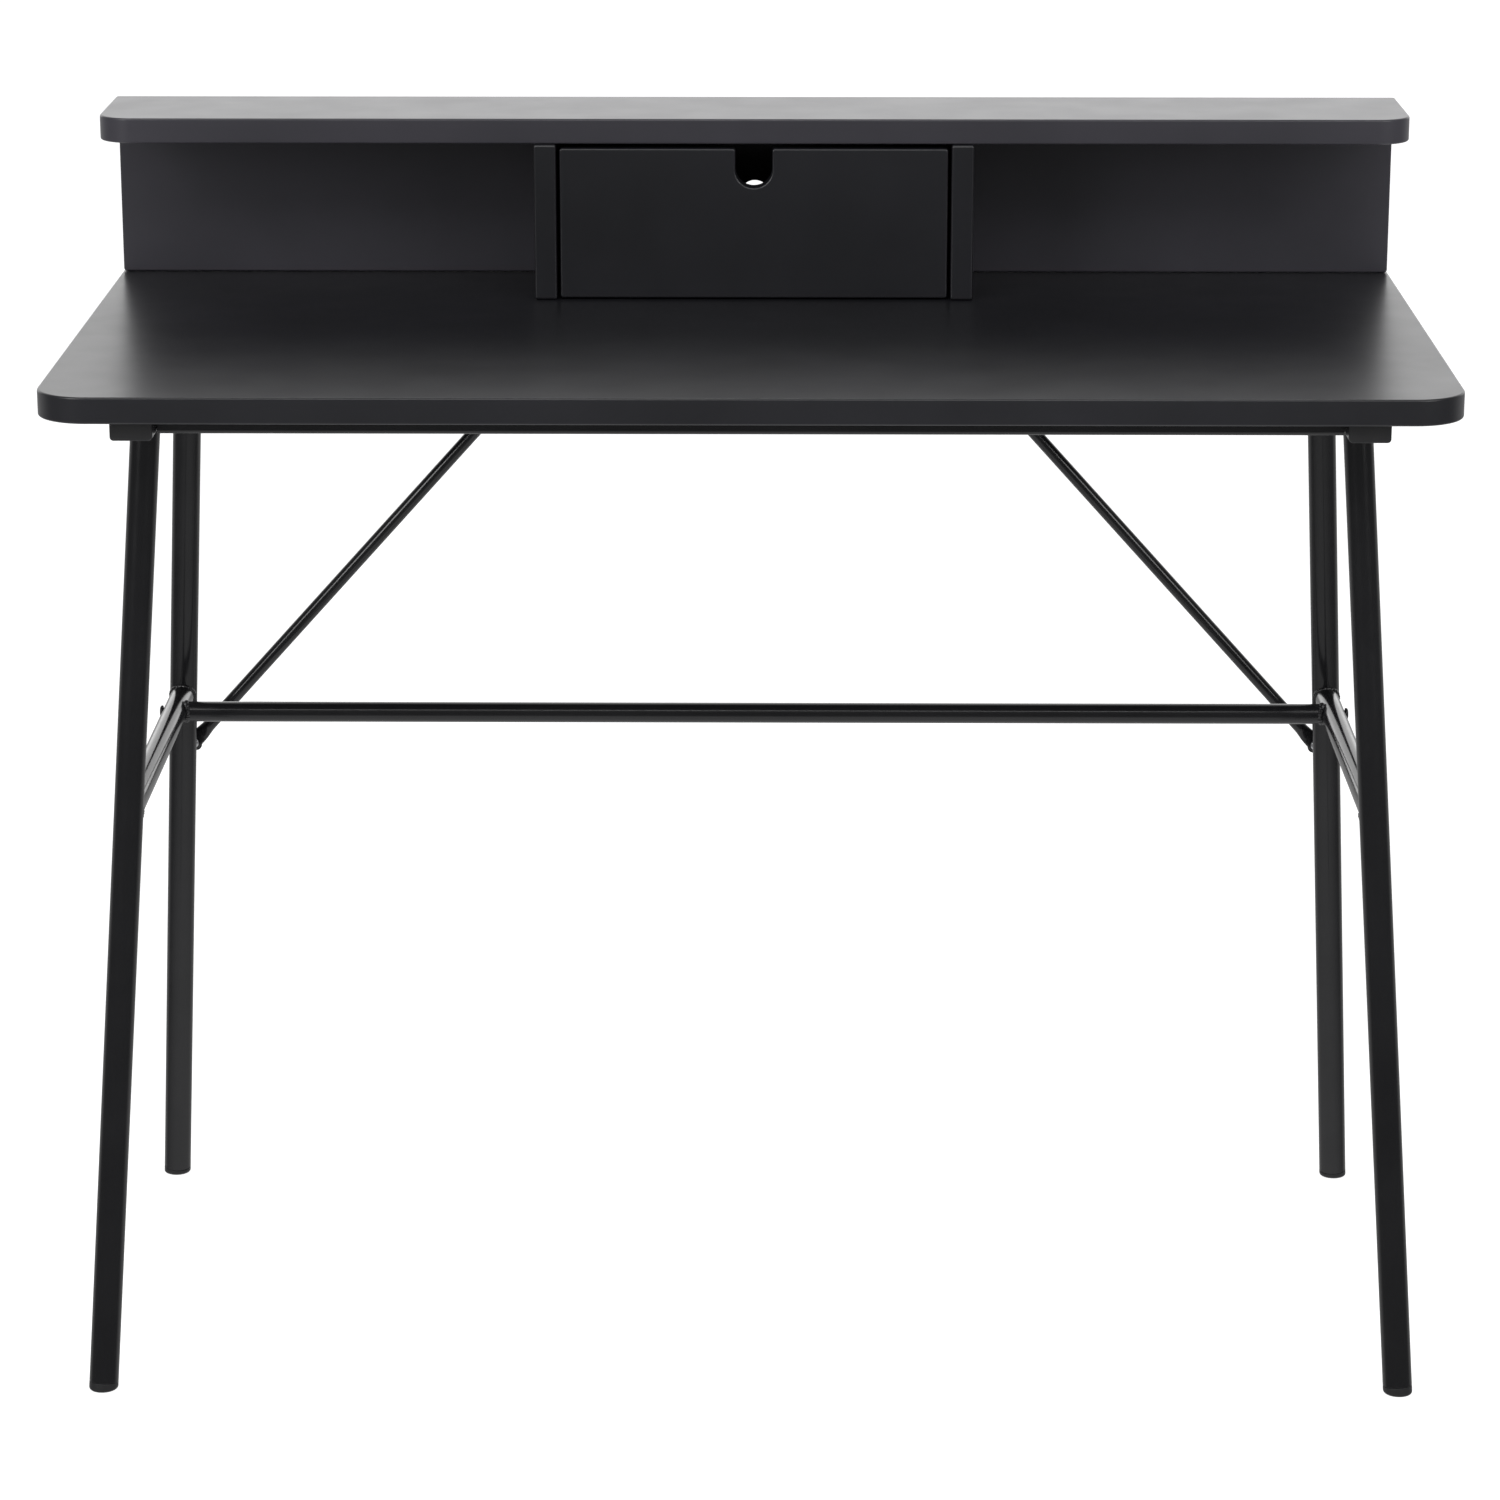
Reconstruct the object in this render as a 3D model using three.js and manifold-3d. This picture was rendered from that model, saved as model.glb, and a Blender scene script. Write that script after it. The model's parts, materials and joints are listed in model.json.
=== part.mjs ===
// Writing desk: a lacquered board top on a splayed steel tube frame, with a low hutch that holds one drawer.
// Millimetres. +X to the sitter's right, -Y towards the sitter, +Z up. The origin is on the floor, under the
// desk's centre.
import * as THREE from "three";
import { mergeVertices } from "three/addons/utils/BufferGeometryUtils.js";
import Module from "manifold-3d";

const wasm = await Module();
wasm.setup();

// ---- Driving dimensions ----

const TOP = { width: 1000, depth: 500, thickness: 19, height: 755, cornerRadius: 38 };
const ARRIS = 1.2; // eased edge of the large boards
const BOX_ARRIS = 0.8; // eased edge of the drawer box's thinner boards
const GAP = 0.3; // clearance between pieces that touch

const PANEL = { width: 998, thickness: 15, height: 136 };
const CABLE_HOLE = { radius: 12, above: 61 };
const SHELF = { width: 1000, thickness: 19, clearBelow: 120, setback: 366.5, cornerRadius: 26 };
const DIVIDER = { thickness: 17, centre: 159, setback: 365 };

const DRAWER = {
  width: 296,
  height: 115,
  lift: 1.4, // under the drawer front
  frontThickness: 16,
  setback: 367.5,
  depth: 112,
  boardThickness: 12,
  glide: 0.5, // under the drawer sides
  sideHeight: 92,
  bottomThickness: 4,
  bottomLift: 6,
};
const FRONT_NOTCH = { width: 28, depth: 30 };
const BACK_NOTCH = { width: 34, depth: 50 };

const RAIL = { width: 30, height: 15, wall: 1.5, corner: 2, centre: 432.5, setback: 16.5 };
const CROSS_RAIL = { width: 20, setback: 38 };
const END_CAP = { thickness: 2.5, inset: 0.3, plug: 9, play: 0.5 };

const LEG = { radius: 10.8, wall: 1.5, topX: 436, topY: 125, footX: 480, footY: 223 };
const FOOT = { height: 5.5, plug: 16 };
const SIDE_STRETCHER = { radius: 9.3, wall: 1.5, height: 428 };
const LONG_STRETCHER = { radius: 7.9, wall: 1.5, setback: 362 };
const INSERT = { length: 14, inset: 2.5 };

const BRACE = {
  radius: 5,
  lowHeight: 382,
  inside: 7, // from the rear leg's centre line to the low screw, towards the desk's middle
  behind: 12.8, // from the rear leg's centre line to the low tab's front face
  highX: 121.5,
  tabWidth: 12,
  tabLength: 20,
  tabThickness: 3.5,
  lap: 2, // of the round bar on its tab
};
const LUG = { thickness: 3, height: 15, reach: 13 }; // behind each rear leg, for a brace's low screw

const SCREW = { shank: 1.9, head: 4.2, headHeight: 2.2 };
const BOLT = { shank: 2.9, head: 4.8, headHeight: 2.4 };
const HEAD_CROWN = { radius: 0.7, height: 0.45 }; // shares of a head's radius and height
const SCREW_BITE = 12; // how deep a screw reaches into a board
const LONG_BITE = 20; // how deep the screws up through the top reach into the hutch
const SINK_DEPTH = 2.4; // of the heads of the screws through the back panel
const SHORT = 1; // how far a shank stops short of its bore's end
const RAIL_SCREWS = [-190, 0, 190];
const DIVIDER_SCREWS = [130, 222];
const PANEL_SCREWS = [-400, -130, 130, 400];
const SHELF_SCREWS = [-430, -150, 150, 430];

const TUBE_SIDES = 28;
const SCREW_SIDES = 12;
const ARC_STEPS = 10;
const OVERRUN = 10; // how far a cutting shape runs past what it cuts
const OVERLAP = 0.5; // how far joined shapes run into each other

// ---- Levels that follow ----

const FRONT = -TOP.depth / 2;
const BACK = TOP.depth / 2;
const UNDERSIDE = TOP.height - TOP.thickness;
const RAIL_BOTTOM = UNDERSIDE - RAIL.height;
const PANEL_FRONT = BACK - PANEL.thickness;
const SHELF_BOTTOM = TOP.height + SHELF.clearBelow;

// ---- Finishes ----

const FINISHES = {
  lacquer: { color: 0x1b1b1e, roughness: 0.45, metalness: 0 },
  steel: { color: 0x17171a, roughness: 0.4, metalness: 0.3 },
  plastic: { color: 0x141416, roughness: 0.55, metalness: 0 },
  zinc: { color: 0xb9bcc0, roughness: 0.3, metalness: 0.9 },
  blackened: { color: 0x1c1c1e, roughness: 0.4, metalness: 0.6 },
};

const part = new THREE.Group();

function place(name, finish, geometry) {
  const mesh = new THREE.Mesh(geometry, new THREE.MeshStandardMaterial(FINISHES[finish]));
  mesh.name = name;
  part.add(mesh);
}

const X_AXIS = new THREE.Vector3(1, 0, 0);
const Y_AXIS = new THREE.Vector3(0, 1, 0);
const Z_AXIS = new THREE.Vector3(0, 0, 1);
const at = (x, y, z) => new THREE.Vector3(x, y, z);
const SIDES = { left: -1, right: 1 };

// ---- Joining and cutting ----

function toSolid(geometry) {
  const plain = geometry.clone();
  plain.deleteAttribute("normal");
  plain.deleteAttribute("uv");
  const merged = mergeVertices(plain, 1e-4);
  return new wasm.Manifold(
    new wasm.Mesh({
      numProp: 3,
      vertProperties: merged.attributes.position.array,
      triVerts: new Uint32Array(merged.index.array),
    }),
  );
}

function toGeometry(solid) {
  const mesh = solid.getMesh();
  const geometry = new THREE.BufferGeometry();
  geometry.setAttribute("position", new THREE.BufferAttribute(mesh.vertProperties, 3));
  geometry.setIndex(new THREE.BufferAttribute(mesh.triVerts, 1));
  geometry.computeVertexNormals();
  return geometry;
}

function cut(geometry, tools) {
  return toGeometry(tools.reduce((solid, tool) => solid.subtract(toSolid(tool)), toSolid(geometry)));
}

function join(geometries) {
  return toGeometry(geometries.map(toSolid).reduce((all, next) => all.add(next)));
}

// ---- Round shapes ----

// A shape turned about the line from one point towards another; its profile is [radius, distance] pairs.
function turned(from, to, profile, sides = TUBE_SIDES) {
  const direction = to.clone().sub(from).normalize();
  const points = profile.map(([radius, distance]) => new THREE.Vector2(radius, distance));
  const geometry = new THREE.LatheGeometry(points, sides);
  const turn = new THREE.Quaternion().setFromUnitVectors(Y_AXIS, direction);
  return geometry.applyQuaternion(turn).translate(from.x, from.y, from.z);
}

function rod(from, to, radius, sides) {
  const length = from.distanceTo(to);
  return turned(from, to, [[0, 0], [radius, 0], [radius, length], [0, length]], sides);
}

function tube(from, to, radius, wall) {
  const length = from.distanceTo(to);
  const inner = radius - wall;
  return turned(from, to, [[radius, 0], [radius, length], [inner, length], [inner, 0], [radius, 0]]);
}

// A screw or bolt whose head bears at a point and whose shank runs along a direction.
function fastener(seat, direction, size, length) {
  const { shank, head, headHeight } = size;
  const start = seat.clone().addScaledVector(direction, -headHeight);
  const profile = [
    [0, 0],
    [head * HEAD_CROWN.radius, 0],
    [head, headHeight * HEAD_CROWN.height],
    [head, headHeight],
    [shank, headHeight],
    [shank, headHeight + length - shank],
    [0, headHeight + length],
  ];
  return turned(start, seat, profile, SCREW_SIDES);
}

function bore(seat, direction, size, length) {
  const start = seat.clone().addScaledVector(direction, -GAP);
  const end = seat.clone().addScaledVector(direction, length + GAP);
  return rod(start, end, size.shank + GAP, SCREW_SIDES);
}

// ---- Flat shapes ----

// Sets a shape drawn in its own x, y and extruded along z into the part, by the axes that those three follow.
function oriented(geometry, xAxis, yAxis, zAxis, origin) {
  geometry.applyMatrix4(new THREE.Matrix4().makeBasis(xAxis, yAxis, zAxis));
  return geometry.translate(origin.x, origin.y, origin.z);
}

// A board of a given outline with every arris eased.
function board(shape, thickness, ease = ARRIS) {
  const geometry = new THREE.ExtrudeGeometry(shape, {
    depth: thickness - 2 * ease,
    bevelThickness: ease,
    bevelSize: ease,
    bevelOffset: -ease,
    bevelSegments: 2,
    curveSegments: ARC_STEPS,
  });
  return geometry.translate(0, 0, ease);
}

function rectangle(x0, y0, x1, y1) {
  const shape = new THREE.Shape();
  shape.moveTo(x0, y0);
  shape.lineTo(x1, y0);
  shape.lineTo(x1, y1);
  shape.lineTo(x0, y1);
  shape.closePath();
  return shape;
}

// A rectangle with its two corners at the front, at y0, rounded.
function roundedFront(x0, y0, x1, y1, radius) {
  const shape = new THREE.Shape();
  shape.moveTo(x0 + radius, y0);
  shape.lineTo(x1 - radius, y0);
  shape.absarc(x1 - radius, y0 + radius, radius, -Math.PI / 2, 0, false);
  shape.lineTo(x1, y1);
  shape.lineTo(x0, y1);
  shape.lineTo(x0, y0 + radius);
  shape.absarc(x0 + radius, y0 + radius, radius, Math.PI, 1.5 * Math.PI, false);
  return shape;
}

// A rectangle with a round-bottomed notch cut down from the middle of its top edge.
function notched(halfWidth, height, notch) {
  const radius = notch.width / 2;
  const shape = new THREE.Shape();
  shape.moveTo(-halfWidth, 0);
  shape.lineTo(halfWidth, 0);
  shape.lineTo(halfWidth, height);
  shape.lineTo(radius, height);
  shape.lineTo(radius, height - notch.depth + radius);
  shape.absarc(0, height - notch.depth + radius, radius, 0, Math.PI, true);
  shape.lineTo(-radius, height);
  shape.lineTo(-halfWidth, height);
  shape.closePath();
  return shape;
}

function roundedRectangle(halfWidth, halfHeight, radius) {
  const w = halfWidth - radius;
  const h = halfHeight - radius;
  const shape = new THREE.Shape();
  shape.absarc(w, -h, radius, -Math.PI / 2, 0, false);
  shape.absarc(w, h, radius, 0, Math.PI / 2, false);
  shape.absarc(-w, h, radius, Math.PI / 2, Math.PI, false);
  shape.absarc(-w, -h, radius, Math.PI, 1.5 * Math.PI, false);
  shape.closePath();
  return shape;
}

// ---- Screw seats, each a point and the way its shank points ----

const railSeats = (side) => RAIL_SCREWS.map((y) => at(side * RAIL.centre, y, RAIL_BOTTOM - GAP));
const dividerSeats = (side) => DIVIDER_SCREWS.map((y) => at(side * DIVIDER.centre, y, UNDERSIDE - GAP));
const panelSeats = PANEL_SCREWS.map((x) => at(x, BACK - PANEL.thickness / 2, UNDERSIDE - GAP));
const shelfSeats = SHELF_SCREWS.map((x) => at(x, BACK - SINK_DEPTH, SHELF_BOTTOM + SHELF.thickness / 2));
const FORWARD = Y_AXIS.clone().negate();

const railScrewLength = RAIL.height + SCREW_BITE;
const boardScrewLength = TOP.thickness + LONG_BITE;
const shelfScrewLength = PANEL.thickness + SCREW_BITE;
const lugScrewLength = BRACE.tabThickness + GAP + LUG.thickness + 2 * SHORT;

// The point of a leg's centre line at a height.
function legPoint(side, end, height) {
  const along = (RAIL_BOTTOM - height) / RAIL_BOTTOM;
  const x = LEG.topX + along * (LEG.footX - LEG.topX);
  const y = LEG.topY + along * (LEG.footY - LEG.topY);
  return at(side * x, end * y, height);
}

const braceSeat = (side) => legPoint(side, 1, BRACE.lowHeight).add(at(-side * BRACE.inside, BRACE.behind, 0));
const braceY = braceSeat(1).y + BRACE.tabThickness / 2;
const braceTopSeat = (side) => at(side * BRACE.highX, braceY, UNDERSIDE - GAP - BRACE.tabThickness);

// ---- Desktop ----

function desktop() {
  const outline = roundedFront(-TOP.width / 2, FRONT, TOP.width / 2, BACK, TOP.cornerRadius);
  const slab = board(outline, TOP.thickness).translate(0, 0, UNDERSIDE);
  const fromRails = [-1, 1].flatMap(railSeats).map((seat) => bore(seat, Z_AXIS, SCREW, railScrewLength));
  const fromBelow = [...[-1, 1].flatMap(dividerSeats), ...panelSeats];
  const through = fromBelow.map((seat) => bore(seat, Z_AXIS, SCREW, boardScrewLength));
  const forBraces = [-1, 1].map((side) => bore(braceTopSeat(side), Z_AXIS, SCREW, SCREW_BITE));
  place("desktop", "lacquer", cut(slab, [...fromRails, ...through, ...forBraces]));
}

// ---- Hutch: back panel, two dividers and the shelf over them ----

function backPanel() {
  const outline = rectangle(-PANEL.width / 2, 0, PANEL.width / 2, PANEL.height - GAP);
  const hole = new THREE.Path();
  hole.absarc(0, CABLE_HOLE.above - GAP, CABLE_HOLE.radius, 0, 2 * Math.PI, true);
  outline.holes.push(hole);
  const origin = at(0, BACK, TOP.height + GAP);
  const slab = oriented(board(outline, PANEL.thickness), X_AXIS, Z_AXIS, FORWARD, origin);
  const below = panelSeats.map((seat) => bore(seat, Z_AXIS, SCREW, boardScrewLength));
  const behind = shelfSeats.map((seat) => bore(seat, FORWARD, SCREW, shelfScrewLength));
  const sinks = shelfSeats.map((seat) => {
    const outside = seat.clone().setY(BACK + OVERRUN);
    return rod(seat, outside, SCREW.head + GAP, SCREW_SIDES);
  });
  place("back_panel", "lacquer", cut(slab, [...below, ...behind, ...sinks]));
}

function topShelf() {
  const outline = roundedFront(
    -SHELF.width / 2,
    FRONT + SHELF.setback,
    SHELF.width / 2,
    PANEL_FRONT - GAP,
    SHELF.cornerRadius,
  );
  const slab = board(outline, SHELF.thickness).translate(0, 0, SHELF_BOTTOM);
  const behind = shelfSeats.map((seat) => bore(seat, FORWARD, SCREW, shelfScrewLength));
  place("top_shelf", "lacquer", cut(slab, behind));
}

function divider(name, side) {
  const outline = rectangle(FRONT + DIVIDER.setback, 0, PANEL_FRONT - GAP, SHELF.clearBelow - 2 * GAP);
  const origin = at(side * DIVIDER.centre - DIVIDER.thickness / 2, 0, TOP.height + GAP);
  const slab = oriented(board(outline, DIVIDER.thickness), Y_AXIS, Z_AXIS, X_AXIS, origin);
  const below = dividerSeats(side).map((seat) => bore(seat, Z_AXIS, SCREW, boardScrewLength));
  place(`divider_${name}`, "lacquer", cut(slab, below));
}

// ---- Drawer ----

const drawerFrontBack = FRONT + DRAWER.setback + DRAWER.frontThickness;
const drawerRear = FRONT + DRAWER.setback + DRAWER.depth;
const drawerInside = DRAWER.width / 2 - DRAWER.boardThickness;
const drawerFloor = TOP.height + DRAWER.glide + DRAWER.bottomLift;

function drawer() {
  const front = board(notched(DRAWER.width / 2, DRAWER.height, FRONT_NOTCH), DRAWER.frontThickness);
  const frontOrigin = at(0, drawerFrontBack, TOP.height + DRAWER.lift);
  place("drawer_front", "lacquer", oriented(front, X_AXIS, Z_AXIS, FORWARD, frontOrigin));

  for (const [name, side] of Object.entries(SIDES)) {
    const outline = rectangle(drawerFrontBack + GAP, 0, drawerRear, DRAWER.sideHeight);
    const middle = side * (DRAWER.width / 2 - DRAWER.boardThickness / 2);
    const origin = at(middle - DRAWER.boardThickness / 2, 0, TOP.height + DRAWER.glide);
    const slab = oriented(board(outline, DRAWER.boardThickness, BOX_ARRIS), Y_AXIS, Z_AXIS, X_AXIS, origin);
    place(`drawer_side_${name}`, "lacquer", slab);
  }

  const backOutline = notched(drawerInside - GAP, DRAWER.sideHeight, BACK_NOTCH);
  const back = board(backOutline, DRAWER.boardThickness, BOX_ARRIS);
  const backOrigin = at(0, drawerRear, TOP.height + DRAWER.glide);
  place("drawer_back", "lacquer", oriented(back, X_AXIS, Z_AXIS, FORWARD, backOrigin));

  const bottom = new THREE.BoxGeometry(
    2 * (drawerInside - GAP),
    drawerRear - DRAWER.boardThickness - drawerFrontBack - 2 * GAP,
    DRAWER.bottomThickness,
  );
  const middleY = (drawerFrontBack + drawerRear - DRAWER.boardThickness) / 2;
  place("drawer_bottom", "lacquer", bottom.translate(0, middleY, drawerFloor + DRAWER.bottomThickness / 2));
}

// ---- Steel rails under the top ----

function hollowRail(width, length) {
  const outline = roundedRectangle(width / 2, RAIL.height / 2 - GAP / 2, RAIL.corner);
  const halfHeight = RAIL.height / 2 - GAP / 2 - RAIL.wall;
  const hollow = roundedRectangle(width / 2 - RAIL.wall, halfHeight, RAIL.corner / 2);
  outline.holes.push(hollow);
  return new THREE.ExtrudeGeometry(outline, { depth: length, bevelEnabled: false, curveSegments: 3 });
}

const railMiddle = UNDERSIDE - RAIL.height / 2 - GAP / 2;
const railStart = FRONT + RAIL.setback;

function sideRail(name, side) {
  const length = -2 * railStart;
  const origin = at(side * RAIL.centre, -railStart, railMiddle);
  const rail = oriented(hollowRail(RAIL.width, length), X_AXIS, Z_AXIS, FORWARD, origin);
  const bores = railSeats(side).map((seat) => bore(seat, Z_AXIS, SCREW, railScrewLength));
  place(`side_rail_${name}`, "steel", cut(rail, bores));

  for (const [end, way] of Object.entries({ front: -1, rear: 1 })) {
    const height = RAIL.height - GAP;
    const inset = END_CAP.inset;
    const lid = new THREE.BoxGeometry(RAIL.width - 2 * inset, END_CAP.thickness, height - 2 * inset);
    const play = RAIL.wall + GAP + END_CAP.play;
    const plug = new THREE.BoxGeometry(RAIL.width - 2 * play, END_CAP.plug, height - 2 * play);
    const face = way * -railStart;
    lid.translate(0, way * (GAP + END_CAP.thickness / 2), 0);
    plug.translate(0, way * (GAP + OVERLAP - END_CAP.plug / 2), 0);
    const cap = join([lid, plug]).translate(side * RAIL.centre, face, railMiddle);
    place(`rail_cap_${end}_${name}`, "plastic", cap);
  }
}

function crossRail(name, way) {
  const reach = RAIL.centre - RAIL.width / 2 - GAP;
  const y = way * (-FRONT - CROSS_RAIL.setback - CROSS_RAIL.width / 2);
  const rail = hollowRail(CROSS_RAIL.width, 2 * reach);
  const origin = at(-reach, y, railMiddle);
  place(`cross_rail_${name}`, "steel", oriented(rail, Y_AXIS, Z_AXIS, X_AXIS, origin));
}

// ---- Legs and feet ----

const slabBox = (low, high) => {
  const box = new THREE.BoxGeometry(2 * TOP.width, 2 * TOP.width, high - low);
  return box.translate(0, 0, (low + high) / 2);
};

function legAxis(side, end) {
  const foot = legPoint(side, end, 0);
  const top = legPoint(side, end, RAIL_BOTTOM);
  return { foot, top, direction: top.clone().sub(foot).normalize() };
}

function leg(name, side, end) {
  const { foot, top, direction } = legAxis(side, end);
  const start = foot.clone().addScaledVector(direction, FOOT.height + GAP);
  const beyond = top.clone().addScaledVector(direction, OVERRUN);
  const above = slabBox(RAIL_BOTTOM - GAP, TOP.height);
  place(`leg_${name}`, "steel", cut(tube(start, beyond, LEG.radius, LEG.wall), [above]));

  const below = foot.clone().addScaledVector(direction, -OVERRUN);
  const rim = FOOT.height + OVERRUN;
  const plugRadius = LEG.radius - LEG.wall - GAP;
  const profile = [
    [0, 0],
    [LEG.radius, 0],
    [LEG.radius, rim],
    [plugRadius, rim],
    [plugRadius, rim + FOOT.plug],
    [0, rim + FOOT.plug],
  ];
  const cap = cut(turned(below, foot, profile), [slabBox(-TOP.height, 0)]);
  place(`foot_${name}`, "plastic", cap);
}

// ---- Stretchers ----

function legCore(side, end) {
  const { foot, top } = legAxis(side, end);
  return rod(foot, top, LEG.radius + GAP);
}

const stretcherY = FRONT + LONG_STRETCHER.setback;

// The centre of a side stretcher where the long stretcher meets it.
function crossing(side) {
  const rear = legPoint(side, 1, SIDE_STRETCHER.height);
  return at(rear.x, stretcherY, SIDE_STRETCHER.height);
}

const boltLength = 2 * SIDE_STRETCHER.radius + INSERT.length;
const boltSeat = (side) => crossing(side).add(at(side * (SIDE_STRETCHER.radius + GAP), 0, 0));

function sideStretcher(name, side) {
  const front = legPoint(side, -1, SIDE_STRETCHER.height);
  const rear = legPoint(side, 1, SIDE_STRETCHER.height);
  const bar = tube(front, rear, SIDE_STRETCHER.radius, SIDE_STRETCHER.wall);
  const inwards = at(-side, 0, 0);
  const tools = [legCore(side, -1), legCore(side, 1), bore(boltSeat(side), inwards, BOLT, boltLength)];
  place(`side_stretcher_${name}`, "steel", cut(bar, tools));
  const bolt = fastener(boltSeat(side), inwards, BOLT, boltLength - 2 * SHORT);
  place(`stretcher_bolt_${name}`, "blackened", bolt);
}

function longStretcher() {
  const bar = tube(crossing(-1), crossing(1), LONG_STRETCHER.radius, LONG_STRETCHER.wall);
  const cores = [-1, 1].map((side) => {
    const near = crossing(side).add(at(0, -LONG_STRETCHER.radius - OVERRUN, 0));
    const far = crossing(side).add(at(0, LONG_STRETCHER.radius + OVERRUN, 0));
    return rod(near, far, SIDE_STRETCHER.radius + GAP);
  });
  place("long_stretcher", "steel", cut(bar, cores));

  for (const [name, side] of Object.entries(SIDES)) {
    const start = crossing(side).add(at(-side * (SIDE_STRETCHER.radius + INSERT.inset), 0, 0));
    const end = start.clone().add(at(-side * INSERT.length, 0, 0));
    const outer = LONG_STRETCHER.radius - LONG_STRETCHER.wall - GAP;
    const inner = BOLT.shank + GAP;
    const profile = [
      [outer, 0],
      [outer, INSERT.length],
      [inner, INSERT.length],
      [inner, 0],
      [outer, 0],
    ];
    place(`stretcher_insert_${name}`, "zinc", turned(start, end, profile));
  }
}

// ---- Diagonal braces ----

// A flat tab with round ends; it runs along its own y and is bored at its origin.
function tab() {
  const half = BRACE.tabWidth / 2;
  const shape = new THREE.Shape();
  shape.absarc(0, 0, half, Math.PI, 2 * Math.PI, false);
  shape.lineTo(half, BRACE.tabLength - half);
  shape.lineTo(-half, BRACE.tabLength - half);
  shape.closePath();
  const hole = new THREE.Path();
  hole.absarc(0, 0, SCREW.shank + GAP, 0, 2 * Math.PI, true);
  shape.holes.push(hole);
  return new THREE.ExtrudeGeometry(shape, {
    depth: BRACE.tabThickness,
    bevelEnabled: false,
    curveSegments: 6,
  });
}

// The low tab stands upright behind the rear leg, in line with the bar. The high one is flat under the top.
function brace(name, side) {
  const low = braceSeat(side);
  const high = braceTopSeat(side);
  const reach = BRACE.tabLength - BRACE.tabWidth / 2 - BRACE.lap;
  const lowMiddle = low.clone().setY(braceY);
  const end = high.clone().add(at(side * reach, 0, BRACE.tabThickness - BRACE.radius));
  const along = end.clone().sub(lowMiddle).normalize();
  const start = lowMiddle.clone().addScaledVector(along, reach);
  const lowTab = oriented(tab(), along.clone().cross(Y_AXIS), along, Y_AXIS, low);
  const highTab = oriented(tab(), at(0, -side, 0), at(side, 0, 0), Z_AXIS, high);
  place(`brace_${name}`, "steel", join([rod(start, end, BRACE.radius), lowTab, highTab]));
  place(`brace_screw_low_${name}`, "zinc", fastener(low, Y_AXIS, SCREW, lugScrewLength - SHORT));
  place(`brace_screw_high_${name}`, "zinc", fastener(high, Z_AXIS, SCREW, SCREW_BITE));
}

// A plate behind the low tab, and a web that joins it to the rear leg beyond the tab's end.
function braceLug(name, side) {
  const seat = braceSeat(side);
  const inner = -BRACE.tabWidth / 2;
  const webStart = BRACE.tabWidth / 2 + OVERLAP;
  const front = BRACE.tabThickness + GAP;
  const back = front + LUG.thickness;
  const plate = new THREE.BoxGeometry(LUG.reach - inner, LUG.thickness, LUG.height);
  plate.translate((side * (LUG.reach + inner)) / 2, (front + back) / 2, 0);
  const web = new THREE.BoxGeometry(LUG.reach - webStart, BRACE.tabThickness + back, LUG.height);
  web.translate((side * (LUG.reach + webStart)) / 2, (back - BRACE.tabThickness) / 2, 0);
  const lug = join([plate, web]).translate(seat.x, seat.y, seat.z);
  const tools = [legCore(side, 1), bore(seat, Y_AXIS, SCREW, lugScrewLength)];
  place(`brace_lug_${name}`, "steel", cut(lug, tools));
}

// ---- Board screws ----

function screws(name, seats, direction, length) {
  seats.forEach((seat, i) => {
    place(`${name}_screw_${i + 1}`, "zinc", fastener(seat, direction, SCREW, length));
  });
}

// ---- Assembly ----

desktop();
backPanel();
topShelf();
drawer();
crossRail("front", -1);
crossRail("rear", 1);
for (const [name, side] of Object.entries(SIDES)) {
  divider(name, side);
  sideRail(name, side);
  leg(`front_${name}`, side, -1);
  leg(`rear_${name}`, side, 1);
  sideStretcher(name, side);
  brace(name, side);
  braceLug(name, side);
  screws(`rail_${name}`, railSeats(side), Z_AXIS, railScrewLength - SHORT);
  screws(`divider_${name}`, dividerSeats(side), Z_AXIS, boardScrewLength - SHORT);
}
longStretcher();
screws("panel", panelSeats, Z_AXIS, boardScrewLength - SHORT);
screws("shelf", shelfSeats, FORWARD, shelfScrewLength - SHORT);

export default part;
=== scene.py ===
"""A black writing desk: lacquered boards on a splayed tube frame, with a low hutch that holds one drawer.

Metres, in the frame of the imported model. The desk's front faces -Y. Each visible part is rebuilt here as a
fine mesh in the place and at the size of its CAD node, and takes a procedural material.
"""

import json
import math
import random

import bmesh
import bpy
from mathutils import Matrix, Vector


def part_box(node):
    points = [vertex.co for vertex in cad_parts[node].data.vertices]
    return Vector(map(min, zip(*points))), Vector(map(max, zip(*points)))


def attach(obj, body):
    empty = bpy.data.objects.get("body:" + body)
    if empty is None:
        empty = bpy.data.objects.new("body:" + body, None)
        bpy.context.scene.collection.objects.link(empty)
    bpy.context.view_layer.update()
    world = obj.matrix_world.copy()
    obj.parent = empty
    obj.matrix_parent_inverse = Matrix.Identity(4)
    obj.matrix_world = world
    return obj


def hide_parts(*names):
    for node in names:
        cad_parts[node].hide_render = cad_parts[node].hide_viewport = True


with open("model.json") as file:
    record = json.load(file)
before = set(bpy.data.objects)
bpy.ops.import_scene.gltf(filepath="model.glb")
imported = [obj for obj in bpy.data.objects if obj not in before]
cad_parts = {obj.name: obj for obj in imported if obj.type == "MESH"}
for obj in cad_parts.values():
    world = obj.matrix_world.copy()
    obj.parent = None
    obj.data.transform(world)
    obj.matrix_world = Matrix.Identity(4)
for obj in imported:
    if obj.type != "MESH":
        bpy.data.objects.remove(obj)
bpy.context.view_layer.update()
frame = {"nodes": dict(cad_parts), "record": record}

MM = 0.001
HAIR = 0.1 * MM  # clearance between pieces that touch
X, Y, Z = Vector((1, 0, 0)), Vector((0, 1, 0)), Vector((0, 0, 1))
SIDES = {"left": -1, "right": 1}
ENDS = {"front": -1, "rear": 1}
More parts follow.
